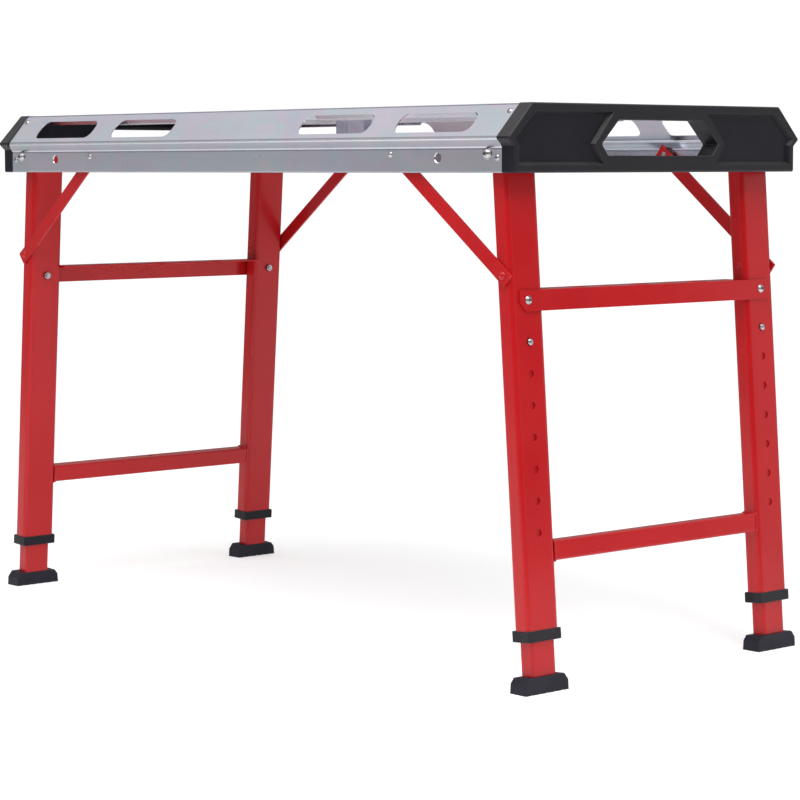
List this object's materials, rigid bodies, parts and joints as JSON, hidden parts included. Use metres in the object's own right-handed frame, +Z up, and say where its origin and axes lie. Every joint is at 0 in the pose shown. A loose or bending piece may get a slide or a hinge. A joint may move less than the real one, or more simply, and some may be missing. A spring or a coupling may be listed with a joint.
{
  "type": "folding sawhorse",
  "caption": "Folding work stand with a flat metal top, hand holes along both rails, black end caps and splayed red legs of adjustable height on folding frames.",
  "frame": {"origin": "on the floor, under the middle of the top", "axes": "+X along the top towards the right end cap, +Y across the top towards the rear rail, +Z up"},
  "size_m": [1.2014, 0.5592, 0.7541],
  "materials": {
    "zinc_steel": "zinc plated, satin",
    "black_plastic": "fine-grained",
    "black_rubber": "matte",
    "red_paint": "gloss",
    "bright_fasteners": "zinc plated, bright",
    "spring_steel": "satin"
  },
  "bodies": {
    "top": {"deck_sheet": "zinc_steel", "front_rail": "zinc_steel", "rear_rail": "zinc_steel", "deck_stiffeners": "zinc_steel", "deck_bracket": "zinc_steel", "right_end_cap": "black_plastic", "left_end_cap": "black_plastic", "right_cap_screws": "bright_fasteners", "left_cap_screws": "bright_fasteners", "leg_pivot_bolts": "bright_fasteners", "leg_pivot_spacers": "bright_fasteners", "leg_pivot_nuts": "bright_fasteners", "brace_clip_rivets": "bright_fasteners", "brace_clips": "spring_steel"},
    "right_frame": {"right_front_outer_leg": "red_paint", "right_front_collar": "black_plastic", "right_rear_outer_leg": "red_paint", "right_rear_collar": "black_plastic", "right_upper_crossbar": "red_paint", "right_lower_crossbar": "red_paint", "right_crossbar_bolts": "bright_fasteners", "right_crossbar_nuts": "bright_fasteners", "right_brace_pins": "red_paint"},
    "right_front_inner_leg_body": {"right_front_inner_leg": "red_paint", "right_front_foot": "black_rubber", "right_front_button_spring": "spring_steel"},
    "right_front_button_body": {"right_front_snap_button": "bright_fasteners"},
    "right_front_brace_body": {"right_front_brace": "red_paint", "right_front_brace_hook_pin": "bright_fasteners"},
    "right_rear_inner_leg_body": {"right_rear_inner_leg": "red_paint", "right_rear_foot": "black_rubber", "right_rear_button_spring": "spring_steel"},
    "right_rear_button_body": {"right_rear_snap_button": "bright_fasteners"},
    "right_rear_brace_body": {"right_rear_brace": "red_paint", "right_rear_brace_hook_pin": "bright_fasteners"},
    "left_frame": {"left_front_outer_leg": "red_paint", "left_front_collar": "black_plastic", "left_rear_outer_leg": "red_paint", "left_rear_collar": "black_plastic", "left_upper_crossbar": "red_paint", "left_lower_crossbar": "red_paint", "left_crossbar_bolts": "bright_fasteners", "left_crossbar_nuts": "bright_fasteners", "left_brace_pins": "red_paint"},
    "left_front_inner_leg_body": {"left_front_inner_leg": "red_paint", "left_front_foot": "black_rubber", "left_front_button_spring": "spring_steel"},
    "left_front_button_body": {"left_front_snap_button": "bright_fasteners"},
    "left_front_brace_body": {"left_front_brace": "red_paint", "left_front_brace_hook_pin": "bright_fasteners"},
    "left_rear_inner_leg_body": {"left_rear_inner_leg": "red_paint", "left_rear_foot": "black_rubber", "left_rear_button_spring": "spring_steel"},
    "left_rear_button_body": {"left_rear_snap_button": "bright_fasteners"},
    "left_rear_brace_body": {"left_rear_brace": "red_paint", "left_rear_brace_hook_pin": "bright_fasteners"}
  },
  "joints": [
    {"name": "right_fold", "type": "hinge", "parent": "top", "child": "right_frame", "pos_m": [0.533, 0, 0.6895], "axis": [0, 1, 0], "range_deg": [0, 95.3]},
    {"name": "right_front_leg_slide", "type": "slide", "parent": "right_frame", "child": "right_front_inner_leg_body", "axis": [-0.075, 0, 0.9972], "range_m": [-0.2448, 0]},
    {"name": "right_front_button_press", "type": "slide", "parent": "right_front_inner_leg_body", "child": "right_front_button_body", "axis": [-0.9972, 0, -0.075], "range_m": [0, 0.0068], "stiffness_N_per_m": 1500, "springref_m": -0.002, "deforming": ["right_front_button_spring"]},
    {"name": "right_front_brace_swing", "type": "hinge", "parent": "right_frame", "child": "right_front_brace_body", "pos_m": [0.54764, -0.256, 0.53486], "axis": [0, -1, 0], "range_deg": [0, 132.2]},
    {"name": "right_rear_leg_slide", "type": "slide", "parent": "right_frame", "child": "right_rear_inner_leg_body", "axis": [-0.075, 0, 0.9972], "range_m": [-0.2448, 0]},
    {"name": "right_rear_button_press", "type": "slide", "parent": "right_rear_inner_leg_body", "child": "right_rear_button_body", "axis": [-0.9972, 0, -0.075], "range_m": [0, 0.0068], "stiffness_N_per_m": 1500, "springref_m": -0.002, "deforming": ["right_rear_button_spring"]},
    {"name": "right_rear_brace_swing", "type": "hinge", "parent": "right_frame", "child": "right_rear_brace_body", "pos_m": [0.54764, 0.256, 0.53486], "axis": [0, -1, 0], "range_deg": [0, 132.2]},
    {"name": "left_fold", "type": "hinge", "parent": "top", "child": "left_frame", "pos_m": [-0.533, 0, 0.6895], "axis": [0, -1, 0], "range_deg": [0, 91.3]},
    {"name": "left_front_leg_slide", "type": "slide", "parent": "left_frame", "child": "left_front_inner_leg_body", "axis": [0.075, 0, 0.9972], "range_m": [-0.2448, 0]},
    {"name": "left_front_button_press", "type": "slide", "parent": "left_front_inner_leg_body", "child": "left_front_button_body", "axis": [0.9972, 0, -0.075], "range_m": [0, 0.0068], "stiffness_N_per_m": 1500, "springref_m": -0.002, "deforming": ["left_front_button_spring"]},
    {"name": "left_front_brace_swing", "type": "hinge", "parent": "left_frame", "child": "left_front_brace_body", "pos_m": [-0.54764, -0.256, 0.53486], "axis": [0, 1, 0], "range_deg": [0, 132.2]},
    {"name": "left_rear_leg_slide", "type": "slide", "parent": "left_frame", "child": "left_rear_inner_leg_body", "axis": [0.075, 0, 0.9972], "range_m": [-0.2448, 0]},
    {"name": "left_rear_button_press", "type": "slide", "parent": "left_rear_inner_leg_body", "child": "left_rear_button_body", "axis": [0.9972, 0, -0.075], "range_m": [0, 0.0068], "stiffness_N_per_m": 1500, "springref_m": -0.002, "deforming": ["left_rear_button_spring"]},
    {"name": "left_rear_brace_swing", "type": "hinge", "parent": "left_frame", "child": "left_rear_brace_body", "pos_m": [-0.54764, 0.256, 0.53486], "axis": [0, 1, 0], "range_deg": [0, 132.2]}
  ],
  "couplings": [
    {"joint": "right_front_brace_swing", "follows": "right_fold", "ratio": 1.387},
    {"joint": "right_rear_brace_swing", "follows": "right_fold", "ratio": 1.387},
    {"joint": "left_front_brace_swing", "follows": "left_fold", "ratio": 1.4479},
    {"joint": "left_rear_brace_swing", "follows": "left_fold", "ratio": 1.4479}
  ]
}
